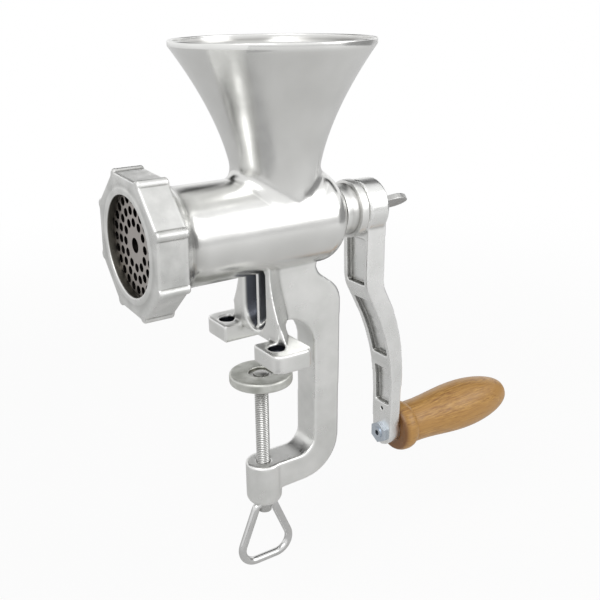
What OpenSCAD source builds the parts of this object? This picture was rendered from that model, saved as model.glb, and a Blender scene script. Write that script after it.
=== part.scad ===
// Hand mincer with a table clamp, of the size known as number 8.
// The table top under the foot is z = 0 and the clamp screw stands on the z axis.
// The barrel lies along x: the meat leaves towards -x and the crank turns at +x.

/* [Hopper] */
// Height of the rim above the table top
rim_z = 175.5; // [168:0.5:190]
// Outer radius of the rim
rim_r = 56.2; // [50:0.2:62]
// Outer radius of the hopper where it meets the barrel
throat_r = 24; // [22:0.1:24.6]
// Wall of the hopper
hopper_wall = 2.6; // [2:0.1:3.4]
// How late the trumpet opens
flare_power = 1.7; // [1.5:0.1:2.4]
// Height of the straight band at the rim
rim_band = 3; // [2:0.5:6]
// Distance from the clamp screw back to the hopper's axis
hopper_x = 13.5; // [8:0.5:18]
// Radius of the fillet between hopper and barrel
hopper_fillet = 9; // [5:0.5:12]

/* [Barrel] */
// Height of the barrel's axis above the table top
axis_z = 75; // [72:0.5:90]
// Outer radius of the barrel
barrel_r = 27.6; // [27:0.1:30]
// Radius of the feed bore
bore_r = 24.2; // [23:0.1:24.8]
// Length of the feed bore, from the knife recess to the rear wall
bore_len = 102; // [96:1:112]
// Distance from the clamp screw forward to the mouth's face
mouth_reach = 72; // [66:0.5:80]
// Outer radius of the threaded mouth
mouth_r = 34.4; // [33.8:0.1:36]
// Length of the threaded mouth
mouth_len = 13; // [11:0.5:15]
// Thickness of the barrel's rear wall
rear_wall = 4; // [3:0.5:6]
// How far the rounded rear end of the barrel reaches back
dome_len = 18.5; // [14:0.5:22]
// Radius of the neck behind the barrel
neck_r = 15.2; // [14:0.1:16.5]
// Length of the neck, measured from the rear wall to its end
neck_len = 23; // [20:0.5:28]
// Radius of the collar on the end of the neck
collar_r = 17.6; // [17:0.1:19]
// Length of the collar
collar_len = 5; // [3:0.5:7]

/* [Outlet] */
// Radius of the cutting plate
plate_r = 31; // [30:0.1:31.6]
// Thickness of the cutting plate
plate_t = 5; // [4:0.5:7]
// How far the plate stands out of the mouth
plate_proud = 1.5; // [1:0.1:2.5]
// Radius of the plate's small holes
plate_hole_r = 2.4; // [1.5:0.1:2.6]
// Radius of the plate's middle hole
plate_centre_r = 4.1; // [3.6:0.1:5]
// Radius of the first ring of holes
ring_first_r = 12.2; // [10:0.1:12.6]
// Step from one ring of holes to the next
ring_step = 6.1; // [5.9:0.1:6.3]
// Number of rings of holes
ring_count = 3; // [2:1:3]
// Radius of the pin that keeps the plate from turning
key_r = 2; // [1.5:0.1:2.4]

/* [Ring nut] */
// Distance from the axis to a corner of the nut
nut_corner_r = 41; // [40:0.1:44]
// Radius of the rounded rib on each corner
nut_rib_r = 2.6; // [2:0.1:3.2]
// Length of the nut
nut_len = 17.9; // [15:0.1:20]
// Thickness of the lip that holds the plate
lip_t = 4.7; // [3.5:0.1:6]
// Radius of the opening in the lip
outlet_r = 27; // [25:0.1:29]
// Turn of the nut about the barrel's axis, degrees
nut_phase = 3; // [0:0.5:44]
// Width of the chamfer on the nut's outer edges
nut_chamfer = 1.2; // [0.5:0.1:2]

/* [Knife and feed screw] */
// Thickness of the knife's blades
knife_t = 6; // [5:0.5:7]
// Reach of the knife's blades from the axis
knife_r = 28.6; // [27:0.1:28.8]
// Radius of the knife's hub
knife_hub_r = 9.5; // [8.5:0.1:11]
// Side of the square stud that drives the knife
stud_side = 9.5; // [8:0.1:10.5]
// Radius of the stud's round tip, which turns in the plate
stud_tip_r = 4; // [3.5:0.1:4.9]
// Depth of the stud's shank in the feed screw
stud_depth = 18; // [12:1:24]
// How far the stud's tip stays back from the plate's front
stud_back = 2.6; // [1:0.1:3]
// Clearance of the flights in the feed bore
flight_gap = 0.5; // [0.3:0.1:1]
// Rise of the flight in one turn
flight_pitch = 29; // [24:0.5:34]
// Share of a turn that the flight's crest fills
flight_share = 0.13; // [0.1:0.01:0.2]
// Core radius of the feed screw at the knife
core_front_r = 12.5; // [11:0.1:14]
// Core radius of the feed screw under the hopper
core_rear_r = 10.5; // [9.9:0.1:12]
// Radius of the journal behind the feed screw
journal_r = 9.5; // [9:0.1:9.7]
// Side of the square tail that carries the crank
tail_side = 12; // [11:0.1:12.8]
// Length of the square tail
tail_len = 12; // [10:0.5:13]

/* [Bush and washer] */
// Outer radius of the neck bush
bush_r = 12; // [11.5:0.1:13]
// Radius of the bush's flange
bush_flange_r = 14; // [13.2:0.1:15]
// Thickness of the bush's flange
bush_flange_t = 1.2; // [0.8:0.1:2]
// Outer radius of the thrust washer
thrust_r = 17; // [14:0.5:20]
// Thickness of the thrust washer
thrust_t = 2; // [1.5:0.1:3]

/* [Foot] */
// Half width of the foot over both pads
foot_half = 42; // [38:0.5:48]
// Half width of the gap between the pads
pad_gap_half = 16.5; // [14:0.5:18]
// Thickness of the pads
pad_t = 10.75; // [8:0.25:11.5]
// Distance from the clamp screw forward to the pads' front edge
pad_front = 14.25; // [12:0.25:18]
// Distance from the clamp screw back to the pads' rear edge
pad_rear = 11; // [8:0.5:14]
// Radius of the pads' outer corners
pad_corner = 6; // [4:0.5:8]
// Radius of the screw holes in the pads
pad_hole_r = 2.75; // [2:0.05:3.5]
// Radius of the counterbores over the screw holes
pad_bore_r = 5; // [4.5:0.1:6]
// Distance of each screw hole from the middle plane
pad_hole_y = 28.5; // [26:0.5:32]
// Distance from the clamp screw forward to the screw holes
pad_hole_front = 6; // [4:0.5:7.5]
// Distance from the clamp screw forward to the leg's front face
leg_front = 3; // [1.5:0.5:5]
// Depth of the leg's flared flanks, from its front face back
leg_depth = 20; // [16:1:26]
// Half width of the leg just under the barrel
leg_top_half = 17.5; // [16:0.5:20]
// Half width of the channel in the leg
channel_half = 13; // [11:0.5:13.5]
// Height of the channel's floor at the front
channel_floor = 10.5; // [10:0.5:14]
// Thickness of the rib that stands in the channel
channel_rib = 2.4; // [1.6:0.2:4]

/* [Clamp frame] */
// Thickness of the frame
frame_t = 20.1; // [16:0.1:24]
// Distance from the clamp screw to the frame's back
throat_depth = 32.6; // [28:0.2:40]
// Depth of the frame's back
spine_w = 19.4; // [15:0.2:24]
// Height of the jaw, from the table top down to the lower limb
jaw_h = 76.3; // [60:0.5:90]
// Depth of the lower limb
limb_h = 17.4; // [14:0.2:20]
// Radius of the screw boss
boss_r = 11.2; // [10:0.1:13]
// Length of the screw boss
boss_len = 28.5; // [22:0.5:34]
// Outer radius of the frame's lower corner
corner_r = 26; // [22:0.5:32]
// Radius of the arch under the barrel
arch_r = 19.5; // [16:0.5:20]
// Distance of the arch's centre below the table top
arch_sink = 2.8; // [1:0.1:4]
// Distance from the frame's inner face back to the notch under the barrel
notch_set = 1.9; // [0:0.1:3]
// Radius of the notch under the barrel
notch_r = 9.5; // [7:0.5:12]
// Drop of the notch's centre below the barrel's axis
notch_drop = 27; // [25:0.5:30]

/* [Clamp screw] */
// Radius of the clamp screw
screw_r = 4.3; // [4:0.1:5]
// Gap between the pads and the pressure disc as photographed
clamp_gap = 16; // [12:0.5:20]
// Radius of the pressure disc
disc_r = 19.2; // [16:0.2:22]
// Thickness of the pressure disc
disc_t = 6.4; // [5:0.2:9]
// Radius of the screw's reduced tip
tip_r = 3.2; // [2.4:0.1:3.4]
// Radius of the recess in the disc's top
disc_recess_r = 7.4; // [7:0.1:9]
// Depth of the recess in the disc's top
disc_recess = 2.8; // [2.6:0.1:3.2]
// Thickness of the washer in the recess
disc_washer_t = 1; // [0.8:0.1:1.2]
// Radius of the wire of the loop handle
wire_r = 2.6; // [2:0.1:2.8]
// Width of the loop handle over its wire
loop_w = 40; // [34:1:48]
// Height of the loop handle over its wire
loop_h = 45.2; // [38:0.2:54]
// Bend radius of the loop's lower corners
loop_bend = 10; // [7:0.5:12]
// Bend radius of the loop under the screw
loop_top_bend = 3.4; // [3:0.1:5]

/* [Crank] */
// Distance between the axes of the barrel and the grip
crank_r = 160.5; // [150:0.5:170]
// Radius of the crank's hub
hub_r = 16.9; // [16:0.1:19]
// Length of the crank's hub
hub_len = 15; // [14.5:0.1:18]
// Width of the arm at the hub
arm_w_top = 26; // [22:0.2:28]
// Width of the arm at the grip
arm_w_end = 18.8; // [17:0.2:24]
// Thickness of the arm at the hub
arm_t_top = 13.6; // [11:0.2:14.4]
// Thickness of the arm at the grip
arm_t_end = 8.2; // [7:0.2:12]
// How far the arm steps back on its way to the grip
arm_offset = 23.7; // [21.5:0.1:27]
// Tilt of the arm's sloping stretch, degrees
arm_tilt = 27; // [24:0.5:28]
// Radius of the arm's upper bend
bend_top_r = 25; // [15:1:30]
// Radius of the arm's lower bend
bend_low_r = 140; // [100:5:145]
// Drop of the arm's upper bend below the barrel's axis
bend_drop = 44; // [38:1:50]
// Width of the rim round the arm's recesses
arm_rim = 3.2; // [2.4:0.2:4]
// Depth of the arm's recesses
recess_depth = 3.6; // [2:0.2:5]
// Radius of the small hole above the spindle's nut
arm_hole_r = 1.3; // [0.8:0.1:2]

/* [Grip and its spindle] */
// Length of the wooden grip
grip_len = 103; // [95:0.5:120]
// Radius of the grip's bead beside the arm
bead_r = 17.2; // [15:0.1:19]
// Radius of the grip's waist
waist_r = 14.5; // [13:0.1:15]
// Largest radius of the grip
belly_r = 17.5; // [16:0.1:20]
// Radius of the spindle
spindle_r = 4; // [3.5:0.1:4.5]
// Across flats of the spindle's nut
spindle_nut_af = 13; // [12:0.5:14]
// Thickness of the spindle's nut
spindle_nut_t = 3.2; // [2.4:0.2:6]
// Thickness of the washer beside the arm
grip_washer_t = 1; // [0.8:0.1:2]
// Radius of the spindle's head
spindle_head_r = 6; // [5.5:0.1:7]
// Depth of the recess for the spindle's head
spindle_head_depth = 9; // [6:0.5:12]

/* [Thumb screw] */
// Radius of the thumb screw's shank
thumb_r = 3.9; // [3.4:0.1:4.1]
// Depth of the thumb screw in the feed screw's tail
thumb_depth = 16; // [12:0.5:22]
// Radius of the thumb screw's collar
thumb_collar_r = 6.6; // [6:0.1:7.5]
// Length of the thumb screw's collar
thumb_collar_len = 5; // [3:0.5:6]
// Length of the flat head
thumb_head_len = 22; // [18:0.5:26]
// Width of the flat head
thumb_head_w = 12; // [10:0.5:18]
// Thickness of the flat head
thumb_head_t = 3.6; // [3:0.1:5]
// Turn of the flat head about the barrel's axis, degrees
thumb_turn = 50; // [0:1:90]

/* [Fits] */
// Radial clearance of a turning fit
run_gap = 0.08; // [0.04:0.01:0.1]
// Gap between faces that pass over each other
face_gap = 0.1; // [0.05:0.05:0.2]
// Clearance of a loose socket, each side
slip_gap = 0.1; // [0.05:0.05:0.2]

/* [Hidden] */
$fn = 64;
eps = 0.01;
over = 1;

mouth_x = -mouth_reach;
plate_front = mouth_x - plate_proud;
plate_back = plate_front + plate_t;
knife_front = plate_back + face_gap;
knife_back = knife_front + knife_t;
recess_floor = knife_back + over;
recess_r = plate_r + slip_gap;
nut_front = plate_front - face_gap - lip_t;
nut_bore_r = mouth_r + run_gap;
rear_x = recess_floor + bore_len;
dome_start = rear_x + rear_wall + bore_r - barrel_r - dome_len / 4;
neck_end = rear_x + neck_len + rear_wall;
thrust_x = rear_x - thrust_t;
shoulder_x = thrust_x - face_gap;
bush_end = neck_end + bush_flange_t;
hub_x = bush_end + 3 * face_gap;
hub_end = hub_x + hub_len;
journal_end = hub_x - face_gap;
tail_end = journal_end + tail_len;
socket_end = tail_end + 3 * face_gap;
arm_x = hub_x + 1.4;
grip_z = axis_z - crank_r;
arm_end_x = arm_x + arm_offset;
arm_back_x = arm_end_x + arm_t_end;
grip_x = arm_back_x + grip_washer_t + 2 * face_gap;
grip_end = grip_x + grip_len;
limb_z = -jaw_h;
disc_top = -clamp_gap;
disc_low = disc_top - disc_t;
boss_low = limb_z - boss_len;
loop_top = boss_low - 2 * face_gap;
spine_x = throat_depth + spine_w;

// Points of an arc in the plane, from angle a to angle b.
function arc(cx, cy, r, a, b, n = 12) =
    [for (i = [0 : n]) [cx + r * cos(a + (b - a) * i / n), cy + r * sin(a + (b - a) * i / n)]];

// A shape drawn with its second axis up, thrown evenly to both sides of the middle plane.
module upright(width) {
    rotate([90, 0, 0])
        translate([0, 0, -width / 2])
            linear_extrude(width)
                children();
}

// A round bar or hole along x.
module bar_x(x0, x1, r, z = axis_z) {
    translate([x0, 0, z])
        rotate([0, 90, 0])
            cylinder(h = x1 - x0, r = r);
}

// A round ring along x.
module ring_x(x0, x1, r_out, r_in, z = axis_z) {
    difference() {
        bar_x(x0, x1, r_out, z);
        bar_x(x0 - over, x1 + over, r_in, z);
    }
}

// A square bar or socket along x.
module square_x(x0, x1, side, z = axis_z) {
    translate([x0, -side / 2, z - side / 2])
        cube([x1 - x0, side, side]);
}

// The hopper's trumpet: the radius grows with a power of the height.
flare_foot = axis_z + barrel_r * 0.72;
flare_h = rim_z - rim_band - flare_foot;
function flare_r(t) = throat_r + (rim_r - throat_r) * pow(t, flare_power);
function flare_line(inset) = [for (i = [0 : 24]) [flare_r(i / 24) - inset, flare_foot + flare_h * i / 24]];

module hopper_outside() {
    translate([hopper_x, 0, 0])
        rotate_extrude($fn = 96)
            polygon(concat([[0, axis_z], [throat_r, axis_z]], flare_line(0), [[rim_r, rim_z], [0, rim_z]]));
}

module hopper_inside() {
    translate([hopper_x, 0, 0])
        rotate_extrude($fn = 96)
            polygon(concat([[0, axis_z], [throat_r - hopper_wall, axis_z]], flare_line(hopper_wall),
                [[rim_r - hopper_wall, rim_z + over], [0, rim_z + over]]));
}

// The fillet round the hopper's foot is full over the barrel's top and fades out on its flanks.
// Its edges are buried a little in the barrel and in the hopper.
root_steps = 48;
root_rings = 5;
root_bury = 0.3;
function root_f(turn) = 0.4 + hopper_fillet * pow(cos(turn), 2);
function barrel_r_at(x) = barrel_r * sqrt(1 - pow(min(max((x - dome_start) / dome_len, 0), 1), 2));
function crown(x, y) = axis_z + sqrt(max(pow(barrel_r_at(x), 2) - y * y, 1));
function root_point(r, turn, h) =
    let (x = hopper_x + r * cos(turn), y = r * sin(turn)) [x, y, crown(x, y) + h];
function root_ring(a) = [for (i = [0 : root_steps - 1])
    let (turn = 360 * i / root_steps, f = root_f(turn))
        root_point(throat_r - root_bury + f * (1 - sin(a)), turn, f * (1 - cos(a)) - root_bury)];
function root_band(k) = [for (i = [0 : root_steps - 1])
    let (j = (i + 1) % root_steps, low = k * root_steps, high = low + root_steps)
        [low + i, high + i, high + j, low + j]];

module hopper_root() {
    sunk = [for (p = root_ring(0)) p - [0, 0, 2]];
    rings = concat([sunk], [for (k = [0 : root_rings]) root_ring(90 * k / root_rings)]);
    points = concat([for (ring = rings) each ring],
        [[hopper_x, 0, axis_z], [hopper_x, 0, axis_z + barrel_r + hopper_fillet]]);
    foot = len(points) - 2;
    top = (len(rings) - 1) * root_steps;
    polyhedron(points, concat(
        [for (k = [0 : len(rings) - 2]) each root_band(k)],
        [for (i = [0 : root_steps - 1]) [foot, i, (i + 1) % root_steps]],
        [for (i = [0 : root_steps - 1]) [foot + 1, top + (i + 1) % root_steps, top + i]]));
}

module barrel_outside() {
    dome = [for (a = [0 : 7.5 : 60]) [dome_start + dome_len * sin(a), barrel_r * cos(a)]];
    profile = concat(
        [[mouth_x, 0], [mouth_x, mouth_r - 1], [mouth_x + 1, mouth_r], [mouth_x + mouth_len, mouth_r],
            [mouth_x + mouth_len + 2, mouth_r - 1.2], [mouth_x + mouth_len + 6, barrel_r + 0.6],
            [mouth_x + mouth_len + 12, barrel_r]],
        dome,
        [[dome_start + dome_len, neck_r + 0.6], [dome_start + dome_len + 2, neck_r],
            [neck_end - collar_len - 0.8, neck_r], [neck_end - collar_len, collar_r],
            [neck_end - 0.8, collar_r], [neck_end, collar_r - 0.8], [neck_end, 0]]);
    along_x(profile);
}

// A profile given as place along x and distance from the barrel's axis, turned about that axis.
module along_x(profile, z = axis_z) {
    translate([0, 0, z])
        rotate([0, 90, 0])
            rotate_extrude($fn = 96)
                polygon([for (p = profile) [p[1], p[0]]]);
}

module barrel_inside() {
    bar_x(mouth_x - over, recess_floor, recess_r);
    bar_x(recess_floor - over, rear_x, bore_r);
    bar_x(rear_x - over, neck_end + over, bush_r);
    translate([0, 0, recess_r])
        bar_x(mouth_x - over, recess_floor, key_r);
}

// Half width of the leg at height z: it flares out towards the pads.
function leg_half(z) = leg_top_half + 0.025 * pow(max(50 - z, 0), 1.77);

module leg() {
    rise = axis_z - barrel_r / 2;
    heights = [for (z = [pad_t : 2.5 : 50]) z];
    flare = [for (z = heights) [leg_half(z), z]];
    floor_z = channel_floor - 4.5;
    side = concat([[0, floor_z], [pad_gap_half, floor_z], [pad_gap_half, over], [leg_half(pad_t), over]],
        flare, [[leg_top_half, rise], [0, rise]]);
    translate([-leg_front, 0, 0])
        rotate([90, 0, 90])
            linear_extrude(height = leg_depth, scale = [0.2, 1], slices = 1)
                union() {
                    polygon(side);
                    mirror([1, 0])
                        polygon(side);
                }
}

// The channel narrows and its floor climbs towards the back.
module channel() {
    top = axis_z;
    depth = leg_front + arch_r - 4;
    translate([-leg_front - over, 0, top])
        rotate([90, 0, 90])
            linear_extrude(height = depth, scale = [0.35, 0.8], slices = 1)
                union() {
                    translate([-channel_half, channel_floor + channel_half - top])
                        square([2 * channel_half, top]);
                    translate([0, channel_floor + channel_half - top])
                        circle(r = channel_half, $fn = 40);
                }
}

module pads() {
    outline = concat([[-pad_front, pad_gap_half], [pad_rear, pad_gap_half]],
        arc(pad_rear - pad_corner, foot_half - pad_corner, pad_corner, 0, 90, 6),
        arc(-pad_front + pad_corner, foot_half - pad_corner, pad_corner, 90, 180, 6));
    for (side = [0, 1])
        mirror([0, side, 0])
            linear_extrude(pad_t)
                polygon(outline);
}

module pad_holes() {
    for (side = [-1, 1])
        translate([-pad_hole_front, side * pad_hole_y, 0]) {
            translate([0, 0, -over])
                cylinder(h = pad_t + 2 * over, r = pad_hole_r);
            translate([0, 0, pad_t / 2])
                cylinder(h = pad_t + 6, r = pad_bore_r);
        }
}

// The frame's outline in the middle plane: shoulder, back, lower corner, lower limb, jaw and arch.
module frame_plate() {
    frame_front = 5;
    notch_x = throat_depth + notch_set;
    shoulder_r = 16;
    inner_r = 11;
    outer = concat(
        [[frame_front, axis_z - bore_r], [notch_x, axis_z - bore_r]],
        arc(notch_x + notch_r, axis_z - notch_drop, notch_r, 180, 232, 6),
        arc(spine_x - shoulder_r, 22, shoulder_r, 52, 0, 8),
        arc(spine_x - 1.6 - corner_r, limb_z - limb_h + corner_r, corner_r, 0, -90, 12),
        [[0, limb_z - limb_h - 1]]);
    inner = concat(
        [[0, limb_z]],
        arc(throat_depth - 0.5 - inner_r, limb_z + inner_r, inner_r, -90, 0, 8),
        arc(throat_depth - arch_r, -arch_sink, arch_r, 0, 120, 16),
        [[frame_front - 2, axis_z - 2 * barrel_r + 4]]);
    upright(frame_t)
        polygon(concat(outer, inner));
}

module screw_boss() {
    translate([0, 0, boss_low])
        rotate_extrude()
            polygon([[0, 0], [boss_r - 4, 0], [boss_r - 1.4, 1.2], [boss_r, 4], [boss_r, boss_len - 1],
                [boss_r - 1, boss_len], [0, boss_len]]);
}

module arch_cut() {
    translate([throat_depth - arch_r, pad_gap_half, -arch_sink])
        rotate([90, 0, 0])
            cylinder(h = 2 * pad_gap_half, r = arch_r);
}

module body_casting() {
    color("silver")
        difference() {
            union() {
                difference() {
                    union() {
                        leg();
                        frame_plate();
                    }
                    channel();
                    arch_cut();
                }
                difference() {
                    translate([-leg_front + 2, -channel_rib / 2, channel_floor - 2])
                        cube([arch_r, channel_rib, axis_z - bore_r - channel_floor]);
                    arch_cut();
                }
                pads();
                screw_boss();
                barrel_outside();
                hopper_outside();
                hopper_root();
            }
            hopper_inside();
            barrel_inside();
            pad_holes();
            translate([0, 0, boss_low - over])
                cylinder(h = boss_len + 2 * over, r = screw_r + run_gap);
        }
}

module neck_bush() {
    color("whitesmoke")
        difference() {
            union() {
                bar_x(rear_x, neck_end, bush_r);
                bar_x(neck_end, bush_end, bush_flange_r);
            }
            bar_x(rear_x - over, bush_end + over, journal_r + run_gap);
        }
}

module plate_key() {
    color("gray")
        translate([0, 0, recess_r])
            bar_x(mouth_x + slip_gap, recess_floor, key_r - eps);
}

module cutting_plate() {
    color("gainsboro")
        difference() {
            bar_x(plate_front, plate_back, plate_r);
            bar_x(plate_front - over, plate_back + over, plate_centre_r);
            for (ring = [0 : ring_count - 1]) {
                r = ring_first_r + ring * ring_step;
                count = floor(2 * PI * r / (2 * plate_hole_r + 1.5));
                for (i = [0 : count - 1])
                    translate([0, r * cos(360 * i / count), r * sin(360 * i / count)])
                        bar_x(plate_front - over, plate_back + over, plate_hole_r, axis_z);
            }
            translate([0, 0, recess_r])
                bar_x(plate_front - over, plate_back + over, key_r + slip_gap);
        }
}

module ring_nut() {
    back = nut_front + nut_len;
    rib_at = nut_corner_r - nut_rib_r;
    color("silver")
        difference() {
            intersection() {
                union() {
                    translate([nut_front, 0, axis_z])
                        rotate([nut_phase, 0, 0])
                            rotate([0, 90, 0])
                                rotate([0, 0, 22.5])
                                    cylinder(h = nut_len, r = nut_corner_r - 1, $fn = 8);
                    for (i = [0 : 7])
                        translate([0, 0, axis_z])
                            rotate([nut_phase + 22.5 + 45 * i, 0, 0])
                                translate([0, rib_at, 0])
                                    bar_x(nut_front, back, nut_rib_r, 0);
                }
                along_x([[nut_front, 0], [nut_front, nut_corner_r - 2 * nut_chamfer],
                    [nut_front + nut_chamfer, nut_corner_r + over], [back - nut_chamfer, nut_corner_r + over],
                    [back, nut_corner_r - 2 * nut_chamfer], [back, 0]]);
            }
            bar_x(nut_front - over, back + over, outlet_r);
            bar_x(nut_front + lip_t, back + over, nut_bore_r);
        }
}

// Four blades, each a bar that is upright at its leading face and sloped behind.
module knife() {
    color("darkgray")
        translate([knife_front, 0, axis_z])
            difference() {
                union() {
                    rotate([0, 90, 0])
                        cylinder(h = knife_t, r = knife_hub_r);
                    for (i = [0 : 3])
                        rotate([90 * i, 0, 0])
                            linear_extrude(knife_r)
                                polygon([[0, -2.5], [0, 4.5], [knife_t - 1, 3.5],
                                    [knife_t - 0.6, 0.5], [1.5, -2.5]]);
                }
                square_x(-over, knife_t + over, stud_side + 2 * slip_gap, 0);
                rotate([0, 90, 0])
                    difference() {
                        translate([0, 0, -over])
                            cylinder(h = knife_t + 2 * over, r = knife_r + 4);
                        translate([0, 0, -2 * over])
                            cylinder(h = knife_t + 4 * over, r = knife_r);
                    }
            }
}

module knife_stud() {
    color("gray") {
        square_x(knife_front + face_gap, knife_back, stud_side);
        bar_x(plate_front + stud_back, knife_front + face_gap, stud_tip_r);
        bar_x(knife_back, knife_back + stud_depth, stud_tip_r + 1);
    }
}

// The flight: a core with one lobe, twisted along the barrel.
module flight(length, r_core, r_crest) {
    turns = length / flight_pitch;
    half = 180 * flight_share;
    foot = half + 22;
    rotate([0, 90, 0])
        linear_extrude(height = length, twist = -360 * turns, slices = ceil(16 * turns), $fn = 1)
            polygon(concat([[0, 0]], [r_core * 0.9 * [cos(foot), -sin(foot)]],
                arc(0, 0, r_crest, -half, half, 3), [r_core * 0.9 * [cos(foot), sin(foot)]]));
}

module feed_screw() {
    flights_start = recess_floor + over;
    color("lightgray")
        difference() {
            union() {
                translate([flights_start, 0, axis_z])
                    flight(shoulder_x - flights_start - 3, core_rear_r, bore_r - flight_gap);
                along_x([[knife_back, 0], [knife_back, core_front_r], [flights_start + 30, core_front_r],
                    [shoulder_x - 30, core_rear_r], [shoulder_x - 8, core_rear_r],
                    [shoulder_x - 3, thrust_r - 1], [shoulder_x, thrust_r - 1], [shoulder_x, journal_r],
                    [journal_end, journal_r], [journal_end, 0]]);
                square_x(journal_end - over, tail_end, tail_side);
            }
            bar_x(knife_back - over, knife_back + stud_depth, stud_tip_r + 1);
            bar_x(hub_end - thumb_depth - 4, tail_end + over, thumb_r + run_gap);
        }
}

module thrust_washer() {
    color("ivory")
        ring_x(thrust_x, rear_x, thrust_r, journal_r + run_gap);
}

// The arm's middle line, seen from the side: upright, a bend, a slope, a long bend back to upright.
function top_bend(a) = [bend_top_r * (1 - cos(a)), -bend_top_r * sin(a)];
slope_len = (arm_offset - (bend_top_r + bend_low_r) * (1 - cos(arm_tilt))) / sin(arm_tilt);
low_start = top_bend(arm_tilt) + slope_len * [sin(arm_tilt), -cos(arm_tilt)];
function low_bend(a) = low_start
    + bend_low_r * [cos(a) - cos(arm_tilt), -(sin(arm_tilt) - sin(a))];
bend_z = axis_z - bend_drop;
arm_line = concat(
    [[arm_x, axis_z]],
    [for (a = [0 : 5.5 : arm_tilt]) [arm_x, bend_z] + top_bend(a)],
    [for (k = [0 : 6]) [arm_x, bend_z] + low_bend(arm_tilt * (1 - k / 6))],
    [[arm_end_x, grip_z - arm_w_end]]);
// The arm grows thinner along the long bend and keeps its thickness below it.
taper_top = bend_z + low_start[1];
taper_end = bend_z + low_bend(0)[1];
function arm_t(z) = arm_t_top
    + (arm_t_end - arm_t_top) * min(max((taper_top - z) / (taper_top - taper_end), 0), 1);
arm_back_line = [for (i = [len(arm_line) - 1 : -1 : 0])
    [arm_line[i][0] + arm_t(arm_line[i][1]), arm_line[i][1]]];

module arm_outline(inset) {
    polygon([[-arm_w_top / 2 + inset, axis_z], [arm_w_top / 2 - inset, axis_z],
        [arm_w_end / 2 - inset, grip_z], [-arm_w_end / 2 + inset, grip_z]]);
}

// Everything between two heights inside the arm's rim, for cutting a recess.
module recess_window(z_low, z_high) {
    translate([arm_x - over, 0, 0])
        rotate([90, 0, 90])
            linear_extrude(arm_offset + 2 * recess_depth)
                intersection() {
                    arm_outline(arm_rim);
                    translate([-arm_w_top, z_low])
                        square([2 * arm_w_top, z_high - z_low]);
                }
}

module recess_layer() {
    front = [for (p = arm_line) [p[0] - over, p[1]]];
    back = [for (i = [len(arm_line) - 1 : -1 : 0]) [arm_line[i][0] + recess_depth, arm_line[i][1]]];
    upright(2 * arm_w_top)
        polygon(concat(front, back));
}

module crank_arm() {
    color("silver")
        difference() {
            union() {
                intersection() {
                    upright(2 * arm_w_top)
                        polygon(concat(arm_line, arm_back_line));
                    translate([arm_x - over, 0, 0])
                        rotate([90, 0, 90])
                            linear_extrude(arm_offset + 2 * arm_t_top)
                                union() {
                                    arm_outline(0);
                                    translate([0, grip_z])
                                        circle(r = arm_w_end / 2);
                                }
                }
                along_x([[hub_x, 0], [hub_x, hub_r - 1], [hub_x + 1, hub_r], [hub_end - 1.5, hub_r],
                    [hub_end, hub_r - 1.5], [hub_end, 0]]);
            }
            intersection() {
                recess_layer();
                union() {
                    recess_window(axis_z - 0.302 * crank_r, axis_z - hub_r - 2);
                    recess_window(axis_z - 0.635 * crank_r, axis_z - 0.374 * crank_r);
                    recess_window(axis_z - 0.86 * crank_r, axis_z - 0.698 * crank_r);
                }
            }
            square_x(hub_x - over, socket_end, tail_side + 2 * slip_gap);
            bar_x(hub_x, hub_end + over, thumb_r + 0.4);
            bar_x(arm_end_x - over, arm_back_x + over, spindle_r + slip_gap, grip_z);
            bar_x(arm_end_x - over, arm_end_x + recess_depth, arm_hole_r, grip_z + 0.11 * crank_r);
        }
}

module thumb_screw() {
    head_x = hub_end + face_gap;
    head_mid = head_x + thumb_collar_len + thumb_head_len / 2;
    color("darkgray") {
        bar_x(hub_end - thumb_depth, head_x, thumb_r);
        along_x([[head_x, 0], [head_x, thumb_collar_r], [head_x + 2, thumb_collar_r],
            [head_x + thumb_collar_len, thumb_collar_r - 2], [head_x + thumb_collar_len + 3, 0]]);
        translate([0, 0, axis_z])
            rotate([thumb_turn, 0, 0])
                translate([head_mid - 1.5, 0, 0])
                    rotate([90, 0, 0])
                        translate([0, 0, -thumb_head_t / 2])
                            intersection() {
                                linear_extrude(thumb_head_t)
                                    polygon([for (a = [0 : 12 : 348])
                                        [thumb_head_len / 2 * cos(a), thumb_head_w / 2 * sin(a)]]);
                                translate([0, 0, thumb_head_t / 2])
                                    cube([thumb_head_len + 2, thumb_head_w + 2, thumb_head_t], center = true);
                            }
    }
}

module spindle_nut() {
    color("lightsteelblue")
        difference() {
            translate([arm_end_x - spindle_nut_t, 0, grip_z])
                rotate([0, 90, 0])
                    cylinder(h = spindle_nut_t, r = spindle_nut_af / sqrt(3), $fn = 6);
            bar_x(arm_end_x - spindle_nut_t - over, arm_end_x + over, spindle_r, grip_z);
        }
}

module grip_spindle() {
    tip_x = arm_end_x - spindle_nut_t - 0.5;
    head_x = grip_end - spindle_head_depth;
    color("silver")
        difference() {
            union() {
                bar_x(tip_x, head_x, spindle_r, grip_z);
                along_x([[head_x, 0], [head_x, spindle_head_r], [head_x + 2.6, spindle_head_r],
                    [head_x + 3.6, spindle_head_r - 1.4], [head_x + 3.6, 0]], grip_z);
            }
            bar_x(tip_x - over, tip_x + 3, spindle_r * 0.45, grip_z);
        }
}

module grip_washer() {
    color("dimgray")
        ring_x(arm_back_x, arm_back_x + grip_washer_t, spindle_r + 5, spindle_r + slip_gap, grip_z);
}

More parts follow.
